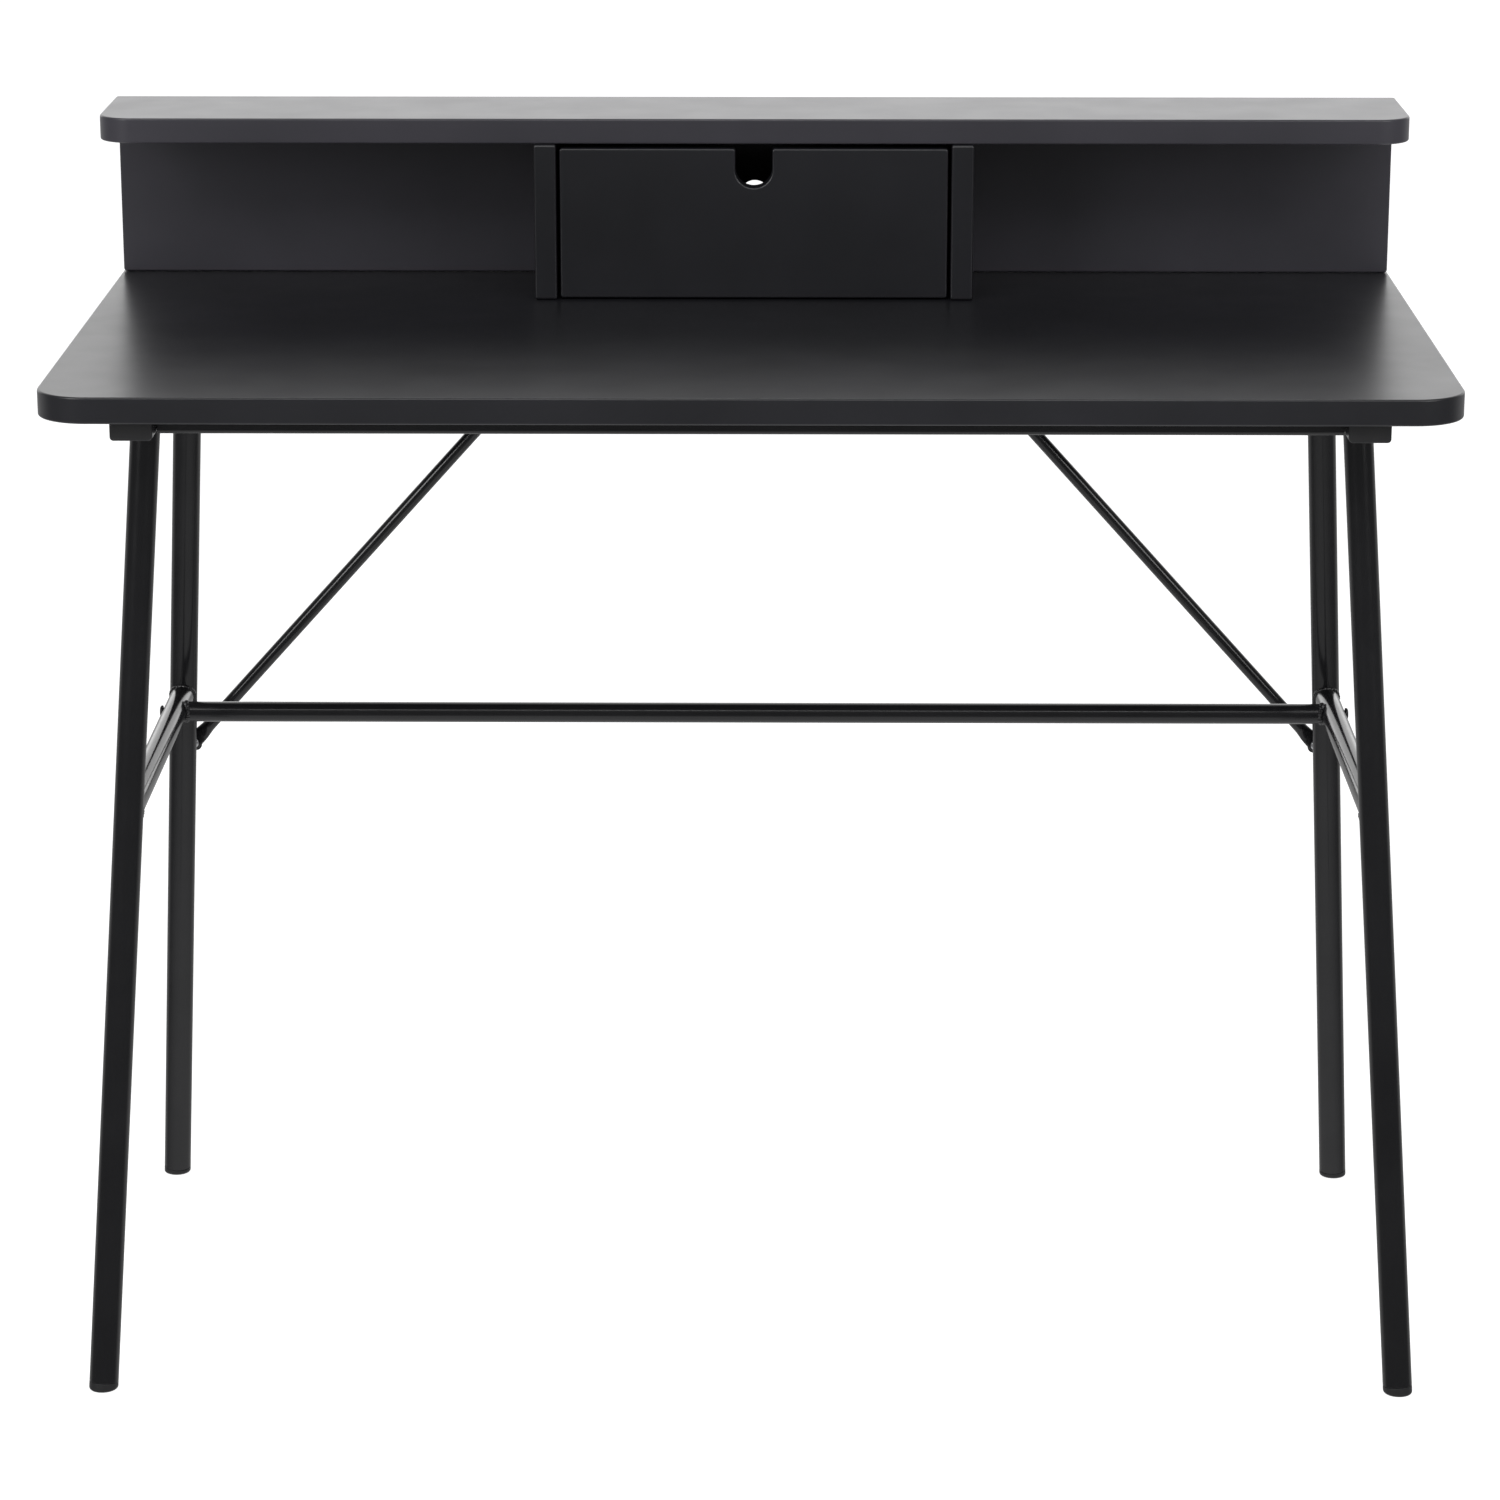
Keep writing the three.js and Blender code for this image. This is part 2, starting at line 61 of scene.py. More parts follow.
SEED = 7

ARRIS = 1.5 * MM  # eased edge of the boards
ARRIS_STEPS = 4
TUBE_SIDES = 64

# ---- Places taken from the frame ----

END_DEPTH = 5 * MM  # holds a slanting tube's whole lowest ring, and none of the next
LEVEL_DEPTH = 0.01 * MM  # holds a level ring


def low(node):
    return Vector(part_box(node)[0])


def high(node):
    return Vector(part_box(node)[1])


def middle(node):
    return (low(node) + high(node)) / 2


def node_points(node):
    return [Vector(v.co) for v in frame["nodes"][node].data.vertices]


def mean(points):
    return sum(points, Vector()) / len(points)


def leg_ends(node):
    """The centres of a leg tube's two ends: its lowest ring, square to the tube, and its level top."""
    points = node_points(node)
    floor_end = min(p.z for p in points)
    rail_end = max(p.z for p in points)
    foot = mean([p for p in points if p.z < floor_end + END_DEPTH])
    top = mean([p for p in points if p.z > rail_end - LEVEL_DEPTH])
    return foot, top


# ---- Camera, light and floor ----

CAMERA_PLACE = (0.0276, -3.5087, 1.4405)
CAMERA_PITCH = math.radians(16.069)
CAMERA_TURN = math.radians(0.481)
CAMERA_LENS = 115.03  # millimetres, on a sensor 36 wide
SENSOR_WIDTH = 36
CLIP_END = 200  # beyond the floor's far edge


def make_camera():
    data = bpy.data.cameras.new("camera")
    data.lens = CAMERA_LENS
    data.sensor_width = SENSOR_WIDTH
    data.clip_end = CLIP_END
    camera = bpy.data.objects.new("camera", data)
    camera.location = CAMERA_PLACE
    camera.rotation_euler = (math.pi / 2 - CAMERA_PITCH, 0, CAMERA_TURN)
    bpy.context.collection.objects.link(camera)
    bpy.context.scene.camera = camera


def softbox(name, place, target, size, radiance):
    """A rectangular light of a given radiance, which keeps its brightness when its size changes."""
    data = bpy.data.lights.new(name, "AREA")
    data.shape = "RECTANGLE"
    data.size, data.size_y = size
    data.energy = radiance * math.pi * size[0] * size[1]
    light = bpy.data.objects.new(name, data)
    light.location = place
    aim = Vector(target) - Vector(place)
    light.rotation_euler = aim.to_track_quat("-Z", "Y").to_euler()
    bpy.context.collection.objects.link(light)


def make_lights():
    """Two tall softboxes in front, one to each side, and a wide one high up between them."""
    desk = (0, 0, 0.7)
    tall, wide = (1.3, 1.8), (3.4, 1.5)
    softbox("left_softbox", (-2.4, -2.6, 2.1), desk, tall, radiance=6.5)
    softbox("right_softbox", (2.4, -2.6, 2.1), desk, tall, radiance=4.6)
    softbox("overhead_softbox", (0, -2.2, 3.0), desk, wide, radiance=2.6)


def world_range(tree, value, start, end, low_value, high_value):
    """A smooth step of light from low_value to high_value as a direction's value goes from start to end."""
    node = tree.nodes.new("ShaderNodeMapRange")
    node.interpolation_type = "SMOOTHSTEP"
    node.inputs["From Min"].default_value = start
    node.inputs["From Max"].default_value = end
    node.inputs["To Min"].default_value = low_value
    node.inputs["To Max"].default_value = high_value
    tree.links.new(value, node.inputs["Value"])
    return node.outputs["Result"]


def combine(tree, operation, values):
    """Folds several values into one with a maths node between each two."""
    result = values[0]
    for value in values[1:]:
        node = tree.nodes.new("ShaderNodeMath")
        node.operation = operation
        tree.links.new(result, node.inputs[0])
        tree.links.new(value, node.inputs[1])
        result = node.outputs[0]
    return result


def make_world():
    """A white studio. Y and Z of a direction give its light: 1 is straight back or straight up."""
    world = bpy.data.worlds.new("studio")
    bpy.context.scene.world = world
    world.use_nodes = True
    tree = world.node_tree
    nodes, links = tree.nodes, tree.links
    nodes.clear()
    place = nodes.new("ShaderNodeTexCoord")
    split = nodes.new("ShaderNodeSeparateXYZ")
    links.new(place.outputs["Generated"], split.inputs[0])
    depth, height = split.outputs["Y"], split.outputs["Z"]
    spot_behind = world_range(tree, depth, 0.45, 0.8, 0.0, 1.38)
    above_floor = world_range(tree, height, -0.1, 0.03, 0.0, 1.0)
    brighter_low = world_range(tree, height, 0.13, 0.18, 1.35, 1.0)
    back_wall = combine(tree, "MULTIPLY", [spot_behind, above_floor, brighter_low])
    rear_half = world_range(tree, depth, -0.12, 0.5, 0.0, 0.45)
    front_room = world_range(tree, height, 0.0, 0.95, 0.13, 0.3)
    floor_glow = world_range(tree, height, -0.62, -0.3, 0.7, 0.0)
    brightest = combine(tree, "MAXIMUM", [back_wall, rear_half, front_room, floor_glow])
    light = nodes.new("ShaderNodeBackground")
    links.new(brightest, light.inputs["Strength"])
    seen = nodes.new("ShaderNodeBackground")
    path = nodes.new("ShaderNodeLightPath")
    mix = nodes.new("ShaderNodeMixShader")
    for background in (light, seen):
        background.inputs["Color"].default_value = (1, 1, 1, 1)
    links.new(path.outputs["Is Camera Ray"], mix.inputs["Fac"])
    links.new(light.outputs[0], mix.inputs[1])
    links.new(seen.outputs[0], mix.inputs[2])
    out = nodes.new("ShaderNodeOutputWorld")
    links.new(mix.outputs[0], out.inputs["Surface"])


FLOOR_HALF = 60  # metres; far enough for its edge to be lost at the horizon
FLOOR_DROP = 0.2 * MM  # below the feet


def make_floor(material):
    """A pale floor, which glossy surfaces don't reflect."""
    mesh = bpy.data.meshes.new("floor")
    corners = [(x * FLOOR_HALF, y * FLOOR_HALF, 0) for x, y in ((-1, -1), (1, -1), (1, 1), (-1, 1))]
    mesh.from_pydata(corners, [], [(0, 1, 2, 3)])
    mesh.materials.append(material)
    floor = bpy.data.objects.new("floor", mesh)
    floor.location.z = -FLOOR_DROP
    floor.visible_glossy = False
    bpy.context.collection.objects.link(floor)


# ---- Materials ----


def new_material(name, base, roughness, metallic=0.0, specular=0.5):
    material = bpy.data.materials.new(name)
    material.use_nodes = True
    shader = material.node_tree.nodes["Principled BSDF"]
    shader.inputs["Base Color"].default_value = (*base, 1)
    shader.inputs["Roughness"].default_value = roughness
    shader.inputs["Metallic"].default_value = metallic
    shader.inputs["Specular IOR Level"].default_value = specular
    return material, shader


def noise(material, scale, detail=3.0):
    """Noise in the piece's own coordinates, with so many waves to the metre."""
    nodes, links = material.node_tree.nodes, material.node_tree.links
    place = nodes.get("place") or nodes.new("ShaderNodeTexCoord")
    place.name = "place"
    texture = nodes.new("ShaderNodeTexNoise")
    texture.inputs["Scale"].default_value = scale
    texture.inputs["Detail"].default_value = detail
    links.new(place.outputs["Object"], texture.inputs["Vector"])
    return texture.outputs["Fac"]


def spread(material, value, lowest, highest, start=0.3, end=0.7):
    """Maps a noise value's middle range onto the numbers from lowest to highest."""
    node = material.node_tree.nodes.new("ShaderNodeMapRange")
    node.inputs["From Min"].default_value = start
    node.inputs["From Max"].default_value = end
    node.inputs["To Min"].default_value = lowest
    node.inputs["To Max"].default_value = highest
    material.node_tree.links.new(value, node.inputs["Value"])
    return node.outputs["Result"]


def blend_colours(material, value, first, second):
    """The colour between two, at a value from 0 to 1."""
    node = material.node_tree.nodes.new("ShaderNodeMix")
    node.data_type = "RGBA"
    node.inputs[6].default_value = (*first, 1)
    node.inputs[7].default_value = (*second, 1)
    material.node_tree.links.new(value, node.inputs[0])
    return node.outputs[2]


def add_bump(material, shader, layers):
    """Stacks bumps, each given as a noise value and its depth in metres."""
    nodes, links = material.node_tree.nodes, material.node_tree.links
    below = None
    for value, depth in layers:
        bump = nodes.new("ShaderNodeBump")
        bump.inputs["Strength"].default_value = 1.0
        bump.inputs["Distance"].default_value = depth
        links.new(value, bump.inputs["Height"])
        if below is not None:
            links.new(below, bump.inputs["Normal"])
        below = bump.outputs["Normal"]
    links.new(below, shader.inputs["Normal"])


def lacquer(name, dark, light):
    """Satin black lacquer sprayed on board: an even film with a faint orange peel."""
    material, shader = new_material(name, light, 0.28)
    links = material.node_tree.links
    cloud = spread(material, noise(material, 9, detail=4), 0, 1)
    links.new(blend_colours(material, cloud, dark, light), shader.inputs["Base Color"])
    links.new(spread(material, noise(material, 26, 5), 0.3, 0.33), shader.inputs["Roughness"])
    peel = noise(material, 420, detail=2)
    grain = noise(material, 2600, detail=2)
    add_bump(material, shader, [(peel, 0.005 * MM), (grain, 0.002 * MM)])
    return material


def powder_coat():
    """Black powder coat on steel tube: glossier than the lacquer, with a faint pebble and drawn waves."""
    dark, light = (0.0065, 0.0065, 0.0073), (0.0095, 0.0095, 0.0105)
    material, shader = new_material("powder_coat", (0.008, 0.008, 0.009), 0.22)
    links = material.node_tree.links
    cloud = spread(material, noise(material, 14, detail=4), 0, 1)
    links.new(blend_colours(material, cloud, dark, light), shader.inputs["Base Color"])
    links.new(spread(material, noise(material, 60, 4), 0.14, 0.2), shader.inputs["Roughness"])
    pebble = noise(material, 900, detail=2)
    waves = noise(material, 160, detail=2)
    add_bump(material, shader, [(pebble, 0.006 * MM), (waves, 0.008 * MM)])
    return material


def moulded_plastic():
    """Matt black moulded plastic with a fine spark-eroded grain."""
    material, shader = new_material("moulded_plastic", (0.011, 0.011, 0.012), 0.48)
    links = material.node_tree.links
    links.new(spread(material, noise(material, 90, 4), 0.42, 0.54), shader.inputs["Roughness"])
    add_bump(material, shader, [(noise(material, 2400, 3), 0.012 * MM)])
    return material


def zinc():
    """Bright zinc plate, slightly clouded."""
    dark, light = (0.56, 0.57, 0.6), (0.76, 0.76, 0.77)
    material, shader = new_material("zinc_plate", (0.66, 0.67, 0.69), 0.3, metallic=1.0)
    links = material.node_tree.links
    cloud = spread(material, noise(material, 700, 4), 0, 1)
    links.new(blend_colours(material, cloud, dark, light), shader.inputs["Base Color"])
    links.new(spread(material, noise(material, 1500, 3), 0.22, 0.4), shader.inputs["Roughness"])
    add_bump(material, shader, [(noise(material, 3000, 2), 0.006 * MM)])
    return material


def blackened():
    """Blackened steel with an oily bloom."""
    material, shader = new_material("blackened_steel", (0.02, 0.02, 0.022), 0.35, metallic=0.5)
    links = material.node_tree.links
    links.new(spread(material, noise(material, 1200, 4), 0.26, 0.45), shader.inputs["Roughness"])
    add_bump(material, shader, [(noise(material, 3000, 2), 0.006 * MM)])
    return material


def floor_paint():
    """Matt pale paint with a glow, so that the floor stays white under soft light."""
    material, shader = new_material("floor_paint", (0.5, 0.5, 0.5), 0.75, specular=0.2)
    shader.inputs["Emission Color"].default_value = (1, 1, 1, 1)
    shader.inputs["Emission Strength"].default_value = 0.85
    add_bump(material, shader, [(noise(material, 60, 3), 0.05 * MM)])
    return material


MATERIALS = {
    "lacquer": lacquer("black_lacquer", (0.0100, 0.0102, 0.0122), (0.0135, 0.0136, 0.0166)),
    # A lighter copy of the black lacquer for the shelf and back panel: painted light, standing in for
    # brightness the lamps don't give these boards.
    "lacquer_painted_lighter": lacquer("black_lacquer_painted_lighter", (0.034, 0.033, 0.040), (0.042, 0.040, 0.049)),
    "steel": powder_coat(),
    "plastic": moulded_plastic(),
    "zinc": zinc(),
    "blackened": blackened(),
}


# ---- Mesh building ----

MERGE = 1e-7  # metres; closer points are one
NORMAL_WEIGHT = 60  # how far large faces outweigh small ones in the shading


def finish_piece(name, bm, slot, body, nodes=(), material=None):
    """Turns a bmesh in world coordinates into a piece that rides on a body and stands for CAD nodes."""
    bmesh.ops.remove_doubles(bm, verts=bm.verts, dist=MERGE)
    bmesh.ops.recalc_face_normals(bm, faces=bm.faces)
    mesh = bpy.data.meshes.new(name)
    bm.to_mesh(mesh)
    bm.free()
    mesh.materials.append(MATERIALS[material or slot])
    for polygon in mesh.polygons:
        polygon.use_smooth = True
    piece = bpy.data.objects.new(name, mesh)
    bpy.context.collection.objects.link(piece)
    weighted = piece.modifiers.new("weighted_normals", "WEIGHTED_NORMAL")
    weighted.weight = NORMAL_WEIGHT
    weighted.keep_sharp = True
    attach(piece, body)
    if nodes:
        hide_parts(*nodes)
    return piece


def turns(count):
    """Evenly spaced angles of one full turn."""
    return [2 * math.pi * k / count for k in range(count)]


def rectangle(lo, hi, across, up):
    """The corners of a box's face that lies along two axes."""
    left, right = lo.dot(across), hi.dot(across)
    bottom, top = lo.dot(up), hi.dot(up)
    return [(left, bottom), (right, bottom), (right, top), (left, top)]


def rounded(corners, radii, steps=5):
    """A closed outline through the corners, each replaced by an arc of its radius."""
    outline = []
    count = len(corners)
    for i, (corner, radius) in enumerate(zip(corners, radii)):
        here = Vector(corner)
        before = (Vector(corners[i - 1]) - here).normalized()
        after = (Vector(corners[(i + 1) % count]) - here).normalized()
        half = before.angle(after) / 2
        reach = radius / math.tan(half)
        centre = here + (before + after).normalized() * (radius / math.sin(half))
        start = here + before * reach - centre
        turn = before.angle_signed(after)
        sweep = math.copysign(math.pi - 2 * half, turn)
        for k in range(steps + 1):
            angle = -sweep * k / steps
            outline.append(centre + Matrix.Rotation(-angle, 2) @ start)
    return outline


def inset(outline, distance):
    """The outline moved to its left by a distance, with mitred corners."""
    moved = []
    count = len(outline)
    for i, here in enumerate(outline):
        first = (here - outline[i - 1]).normalized()
        second = (outline[(i + 1) % count] - here).normalized()
        left_first = Vector((-first.y, first.x))
        left_second = Vector((-second.y, second.x))
        across = (left_first + left_second) / (1 + left_first.dot(left_second))
        moved.append(here + across * distance)
    return moved


def board(name, outline, span, axes, slot, body, nodes, ease=ARRIS, holes=(), material=None):
    """A board: its outline lies across axes[0] and axes[1], and it is thick over span along axes[2]."""
    bm = bmesh.new()
    start, end = span
    steps = [math.pi / 2 * k / ARRIS_STEPS for k in range(ARRIS_STEPS + 1)]
    levels = [(ease * (1 - math.sin(a)), start + ease * (1 - math.cos(a))) for a in steps]
    levels += [(ease * (1 - math.sin(a)), end - ease * (1 - math.cos(a))) for a in reversed(steps)]

    def ring(loop, level):
        distance, depth = level
        points = inset(loop, distance)
        return [bm.verts.new(axes[0] * p.x + axes[1] * p.y + axes[2] * depth) for p in points]

    caps = ([], [])
    for loop in [outline, *holes]:
        rings = [ring(loop, level) for level in levels]
        for lower, upper in zip(rings, rings[1:]):
            for i in range(len(lower)):
                j = (i + 1) % len(lower)
                bm.faces.new((lower[i], lower[j], upper[j], upper[i]))
        caps[0].append(rings[0])
        caps[1].append(rings[-1])
    for loops in caps:
        if len(loops) == 1:
            bm.faces.new(loops[0])
            continue
        edges = [bm.edges.get((r[i], r[(i + 1) % len(r)])) for r in loops for i in range(len(r))]
        bmesh.ops.triangle_fill(bm, edges=edges, use_beauty=True)
    return finish_piece(name, bm, slot, body, nodes, material)


def circle_around(direction, sides=TUBE_SIDES):
    """Unit vectors around a direction, evenly turned."""
    direction = direction.normalized()
    first = direction.orthogonal().normalized()
    second = direction.cross(first)
    return [first * math.cos(t) + second * math.sin(t) for t in turns(sides)]


def loft(bm, rings, closed=False):
    """Skins a run of equal rings, and caps its two ends unless the run closes on itself."""
    made = [[bm.verts.new(p) for p in ring] for ring in rings]
    pairs = list(zip(made, made[1:]))
    if closed:
        pairs.append((made[-1], made[0]))
    for lower, upper in pairs:
        for i in range(len(lower)):
            j = (i + 1) % len(lower)
            bm.faces.new((lower[i], lower[j], upper[j], upper[i]))
    if not closed:
        for end, ring in ((made[0], rings[0]), (made[-1], rings[-1])):
            centre = bm.verts.new(mean(ring))
            for i in range(len(end)):
                bm.faces.new((end[i], end[(i + 1) % len(end)], centre))


def to_plane(height):
    """Slides a point along a direction onto a level plane."""
    return lambda point, direction: point + direction * ((height - point.z) / direction.z)


def to_cylinder(centre, axis, radius):
    """Slides a point back along a direction onto the near side of a round bar."""
    axis = axis.normalized()

    def slide(point, direction):
        offset = point - centre
        a = direction - axis * direction.dot(axis)
        b = offset - axis * offset.dot(axis)
        half_b = a.dot(b)
        reach = math.sqrt(half_b**2 - a.dot(a) * (b.dot(b) - radius**2))
        return point + direction * ((-half_b - reach) / a.dot(a))

    return slide


EASE = 0.4 * MM  # softened rim of a tube's end
MID_EASE = 0.3 * EASE  # in and along from the sharp rim to the middle of the softened one
TUBE_STRETCHES = 6  # rings along a straight tube


def tube_rings(start, end, radius, at_start, at_end):
    """Rings of a straight tube whose ends are slid onto other surfaces, each with a softened rim."""
    direction = (end - start).normalized()
    around = circle_around(direction)
    first = [at_start(start + a * radius, -direction) for a in around]
    last = [at_end(end + a * radius, direction) for a in around]
    first_in = [p - a * EASE for p, a in zip(first, around)]
    last_in = [p - a * EASE for p, a in zip(last, around)]
    first_out = [p + direction * EASE for p in first]
    last_out = [p - direction * EASE for p in last]
    first_mid = [p + (direction - a) * MID_EASE for p, a in zip(first, around)]
    last_mid = [p - (direction + a) * MID_EASE for p, a in zip(last, around)]
    runs = [first_in, first_mid, first_out]
    for k in range(1, TUBE_STRETCHES):
        t = k / TUBE_STRETCHES
        runs.append([p.lerp(q, t) for p, q in zip(first_out, last_out)])
    return runs + [last_out, last_mid, last_in]


def stay(point, direction):
    """Leaves a point where it is, for a tube's square end."""
    return point


# ---- Boards of the top and the hutch ----

SOFT_CORNER = 2.2 * MM  # square corners of a board's outline
TOP_CORNER = 38 * MM  # front corners of the desktop
SHELF_CORNER = 26 * MM  # front corners of the shelf
CABLE_HOLE_RADIUS = 12 * MM
SINK_RADIUS = 4.6 * MM  # clear of the heads of the screws that go through the panel


def desktop():
    lo, hi = low("desktop"), high("desktop")
    radii = [TOP_CORNER, TOP_CORNER, SOFT_CORNER, SOFT_CORNER]
    outline = rounded(rectangle(lo, hi, X, Y), radii, steps=20)
    board("desktop_board", outline, (lo.z, hi.z), (X, Y, Z), "lacquer", "frame", ["desktop"])


def shelf():
    lo, hi = low("top_shelf"), high("top_shelf")
    radii = [SHELF_CORNER, SHELF_CORNER, SOFT_CORNER, SOFT_CORNER]
    outline = rounded(rectangle(lo, hi, X, Y), radii, steps=18)
    span, axes = (lo.z, hi.z), (X, Y, Z)
    # The shelf takes the lighter copy of the lacquer, which is painted light.
    board("shelf_board", outline, span, axes, "lacquer", "frame", ["top_shelf"], material="lacquer_painted_lighter")


def round_hole(place, radius):
    """A hole's outline in X and Z about a place, run the other way round from a board's."""
    arms = [Vector((math.cos(t), -math.sin(t))) for t in turns(TUBE_SIDES)]
    return [Vector((place.x, place.z)) + arm * radius for arm in arms]


def shelf_screws():
    return sorted(node for node in frame["nodes"] if node.startswith("shelf_screw"))


def back_panel():
    lo, hi = low("back_panel"), high("back_panel")
    outline = rounded(rectangle(lo, hi, X, Z), [SOFT_CORNER] * 4)
    openings = frame["record"]["physics"]["openings"]
    cable_hole = next(o for o in openings if o["name"] == "cable_hole")
    holes = [round_hole(mean([Vector(corner) for corner in cable_hole["box_m"]]), CABLE_HOLE_RADIUS)]
    holes += [round_hole(middle(node), SINK_RADIUS) for node in shelf_screws()]
    span, axes = (-hi.y, -lo.y), (X, Z, -Y)
    nodes = ["back_panel"]
    # The back panel takes the lighter copy of the lacquer, which is painted light.
    board("back_board", outline, span, axes, "lacquer", "frame", nodes, holes=holes, material="lacquer_painted_lighter")


def dividers():
    for name in SIDES:
        node = f"divider_{name}"
        lo, hi = low(node), high(node)
        outline = rounded(rectangle(lo, hi, Y, Z), [SOFT_CORNER] * 4)
        board(f"divider_board_{name}", outline, (lo.x, hi.x), (Y, Z, X), "lacquer", "frame", [node])


# ---- Drawer ----

FACE_NOTCH = (28 * MM, 30 * MM)  # width and depth of the finger notch
TAIL_NOTCH = (34 * MM, 50 * MM)  # width and depth of the notch for a cable
BOX_CORNER = 1.2 * MM
BOX_EASE = 0.8 * MM
FLOOR_CORNER = 0.8 * MM
FLOOR_EASE = 0.4 * MM
NEARLY = 0.995  # share of the notch's half width that its bottom corners round off

def notched_outline(lo, hi, notch, corner):
    """A board's front outline with a round-bottomed notch down from the middle of its top."""
    width, depth = notch
    radius = width / 2
    centre = (lo.x + hi.x) / 2
    floor = hi.z - depth
    corners = [
        (lo.x, lo.z),
        (hi.x, lo.z),
        (hi.x, hi.z),
        (centre + radius, hi.z),
        (centre + radius, floor),
        (centre - radius, floor),
        (centre - radius, hi.z),
        (lo.x, hi.z),
    ]
    bottom = radius * NEARLY
    return rounded(corners, [corner, corner, corner, corner, bottom, bottom, corner, corner], steps=14)


def drawer():
    lo, hi = low("drawer_front"), high("drawer_front")
    outline = notched_outline(lo, hi, FACE_NOTCH, SOFT_CORNER)
    span, axes = (-hi.y, -lo.y), (X, Z, -Y)
    board("drawer_face", outline, span, axes, "lacquer", "drawer", ["drawer_front"])

    lo, hi = low("drawer_back"), high("drawer_back")
    outline = notched_outline(lo, hi, TAIL_NOTCH, BOX_CORNER)
    span = (-hi.y, -lo.y)
    board("drawer_tail", outline, span, axes, "lacquer", "drawer", ["drawer_back"], ease=BOX_EASE)

    for name in SIDES:
        node = f"drawer_side_{name}"
        lo, hi = low(node), high(node)
        outline = rounded(rectangle(lo, hi, Y, Z), [BOX_CORNER] * 4)
        span = (lo.x, hi.x)
        board(f"drawer_wall_{name}", outline, span, (Y, Z, X), "lacquer", "drawer", [node], ease=BOX_EASE)

    lo, hi = low("drawer_bottom"), high("drawer_bottom")
    outline = rounded(rectangle(lo, hi, X, Y), [FLOOR_CORNER] * 4)
    span, axes = (lo.z, hi.z), (X, Y, Z)
    board("drawer_floor", outline, span, axes, "lacquer", "drawer", ["drawer_bottom"], ease=FLOOR_EASE)


# ---- Rails ----

RAIL_CORNER = 3.0 * MM
CAP_CORNER = 0.9 * RAIL_CORNER
CAP_LIP = 2.5 * MM  # the part of an end cap that shows
CAP_EASE = 0.7 * MM


def rail(name, node, across):
    """A flat rectangular tube with rounded corners, whose width lies along the axis across."""
    lo, hi = low(node), high(node)
    outline = rounded(rectangle(lo, hi, across, Z), [RAIL_CORNER] * 4, steps=8)
    along = across.cross(Z)
    ends = sorted((lo.dot(along), hi.dot(along)))
    board(name, outline, ends, (across, Z, along), "steel", "frame", [node], ease=EASE)


def rails():
    for name in SIDES:
        rail(f"side_rail_tube_{name}", f"side_rail_{name}", X)
        for end, way in ENDS.items():
            node = f"rail_cap_{end}_{name}"
            lo, hi = low(node), high(node)
            outline = rounded(rectangle(lo, hi, X, Z), [CAP_CORNER] * 4, steps=8)
            span = (-hi.y, -hi.y + CAP_LIP) if way > 0 else (-lo.y - CAP_LIP, -lo.y)
            cap = f"rail_lid_{end}_{name}"
            board(cap, outline, span, (X, Z, -Y), "plastic", "frame", [node], ease=CAP_EASE)
    for end in ENDS:
        rail(f"cross_rail_tube_{end}", f"cross_rail_{end}", Y)


# ---- Legs and feet ----


def tube_radius(node):
    foot, top = leg_ends(node)
    axis = (top - foot).normalized()
    return max((p - foot).cross(axis).length for p in node_points(node))


LEG_RADIUS = tube_radius("leg_front_left")
FOOT_SEAM = 0.3 * MM  # gap between a tube's end and its cap
FOOT_EDGE = 1.8 * MM  # rounded rim of a sole
FOOT_STEPS = 6


def legs():
    for end in ENDS:
        for name in SIDES:
            node = f"leg_{end}_{name}"
            foot, top = leg_ends(node)
            bm = bmesh.new()
            loft(bm, tube_rings(foot, top, LEG_RADIUS, stay, to_plane(high(node).z)))
            finish_piece(f"leg_tube_{end}_{name}", bm, "steel", "frame", [node])
            feet(f"foot_{end}_{name}", foot, top)


def feet(node, foot, top):
    """A plastic cap from the tube's square end down to a level sole with a rounded rim."""
    direction = (top - foot).normalized()
    around = circle_around(direction)
    seam = foot - direction * FOOT_SEAM
    upper = [seam + a * LEG_RADIUS for a in around]
    rings = [
        [p - a * EASE for p, a in zip(upper, around)],
        [p - (direction + a) * MID_EASE for p, a in zip(upper, around)],
        [p - direction * EASE for p in upper],
    ]
    sole = [to_plane(0)(p, -direction) for p in upper]
    centre = mean(sole)
    for k in range(FOOT_STEPS + 1):
        angle = math.pi / 2 * k / FOOT_STEPS
        lift = FOOT_EDGE * (1 - math.sin(angle))
        pull = FOOT_EDGE * (1 - math.cos(angle))
        ring = []
        for p in sole:
            inwards = (centre - p).normalized()
            ring.append(p + inwards * pull + direction * (lift / direction.z))
        rings.append(ring)
    bm = bmesh.new()
    loft(bm, rings)
    finish_piece(f"{node}_cap", bm, "plastic", "frame", [node])


# ---- Stretchers ----


def bar_radius(node):
    return (high(node).z - low(node).z) / 2


def stretchers():
    for name in SIDES:
        node = f"side_stretcher_{name}"
        centre = middle(node)
        radius = bar_radius(node)
        ends = {}
        for end in ENDS:
            foot, top = leg_ends(f"leg_{end}_{name}")
            ends[end] = to_cylinder(foot, top - foot, LEG_RADIUS + HAIR)
        bm = bmesh.new()
        loft(bm, tube_rings(centre, centre + Y * MM, radius, ends["front"], ends["rear"]))
        finish_piece(f"side_stretcher_tube_{name}", bm, "steel", "frame", [node])

    node = "long_stretcher"
    centre = middle(node)
    radius = bar_radius(node)
    slides = {}
    for name in SIDES:
        side_bar = f"side_stretcher_{name}"
        slides[name] = to_cylinder(middle(side_bar), Y, bar_radius(side_bar) + HAIR)
    bm = bmesh.new()
    loft(bm, tube_rings(centre, centre + X * MM, radius, slides["left"], slides["right"]))
    finish_piece("long_stretcher_tube", bm, "steel", "frame", [node])


# ---- Welds ----

